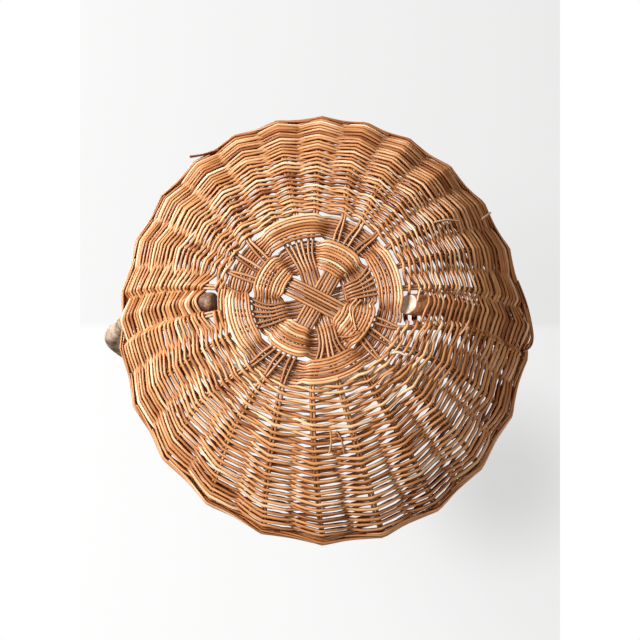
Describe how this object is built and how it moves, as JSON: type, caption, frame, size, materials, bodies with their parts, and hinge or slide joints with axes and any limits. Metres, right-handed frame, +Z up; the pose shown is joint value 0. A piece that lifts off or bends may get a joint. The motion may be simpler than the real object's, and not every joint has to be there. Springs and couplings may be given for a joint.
{
  "type": "willow gathering basket",
  "caption": "Round shallow willow gathering basket, twined on paired stakes over a woven round base, with a fixed bow handle bent from a branch.",
  "frame": {"origin": "middle of the basket's outline seen from above, on the surface that the foot stands on", "axes": "+Z up through the open mouth; the bow of the handle runs along X, and Y runs across it"},
  "size_m": [0.4122, 0.4186, 0.3345],
  "materials": {
    "willow_strands": "dry willow rods with their bark on, satin, golden to reddish brown",
    "willow_stakes": "dry willow rods with their bark on, darker reddish brown, satin",
    "willow_base": "dry willow rods, golden brown, satin",
    "branch_bark": "smooth brown branch bark with knots, bare wood at the cut ends"
  },
  "bodies": {
    "root": {"stake_pair_01": "willow_stakes", "stake_pair_02": "willow_stakes", "stake_pair_03": "willow_stakes", "stake_pair_04": "willow_stakes", "stake_pair_05": "willow_stakes", "stake_pair_06": "willow_stakes", "stake_pair_07": "willow_stakes", "stake_pair_08": "willow_stakes", "stake_pair_09": "willow_stakes", "stake_pair_10": "willow_stakes", "stake_pair_11": "willow_stakes", "stake_pair_12": "willow_stakes", "base_inner_ring": "willow_base", "base_outer_ring": "willow_base", "outer_strands_1_front": "willow_strands", "outer_strands_1_back": "willow_strands", "outer_strands_2": "willow_strands", "outer_strands_3": "willow_strands", "outer_strands_4": "willow_strands", "outer_strands_5": "willow_strands", "inner_strands_1": "willow_strands", "inner_strands_2": "willow_strands", "inner_strands_3": "willow_strands", "inner_strands_4": "willow_strands", "inner_strands_5": "willow_strands", "border_outer": "willow_strands", "border_inner": "willow_strands", "handle_bow": "branch_bark"}
  },
  "joints": []
}
